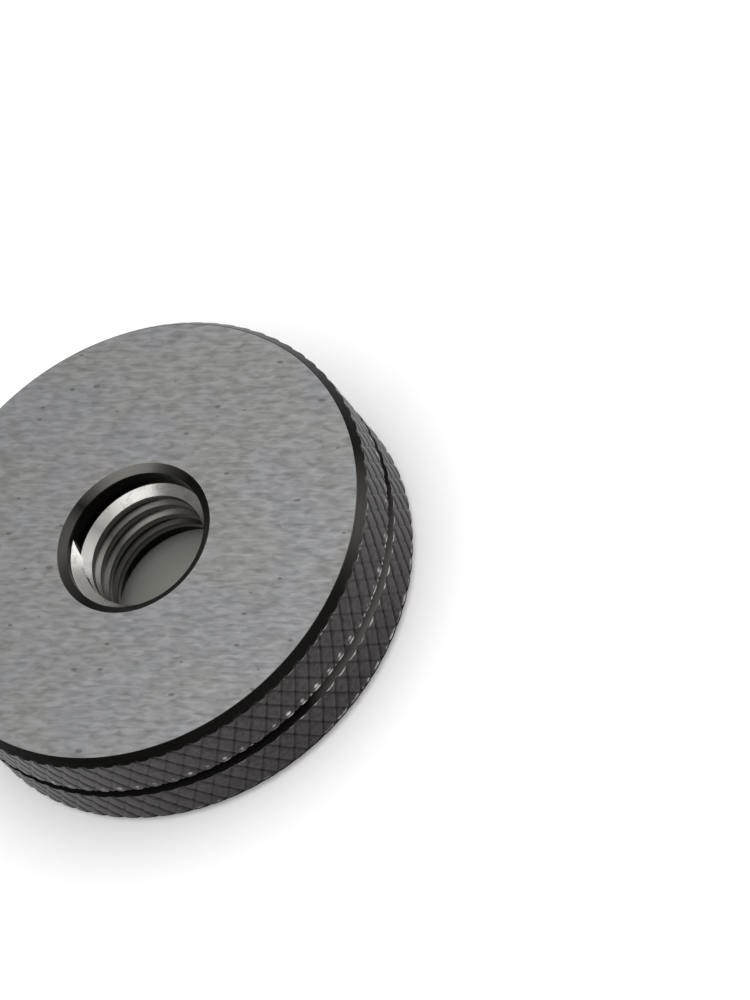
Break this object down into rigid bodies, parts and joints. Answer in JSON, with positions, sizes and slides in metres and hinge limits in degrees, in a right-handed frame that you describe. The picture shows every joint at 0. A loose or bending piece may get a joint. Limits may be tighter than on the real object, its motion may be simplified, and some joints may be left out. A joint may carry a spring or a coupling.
{
  "type": "thread ring gauge",
  "caption": "Flat knurled steel ring with a threaded bore and a groove round its rim, screwed onto a thread to test that it does not go.",
  "frame": {"origin": "centre of the lower face, on the axis of the bore", "axes": "+Z along the bore axis, from the face it lies on to the face that shows"},
  "size_m": [0.038, 0.038, 0.01],
  "materials": {
    "ring_steel": "hardened tool steel, faces surface ground, rim blackened over the knurl, thread lapped bright"
  },
  "bodies": {
    "root": {"gauge_ring": "ring_steel"}
  },
  "joints": []
}
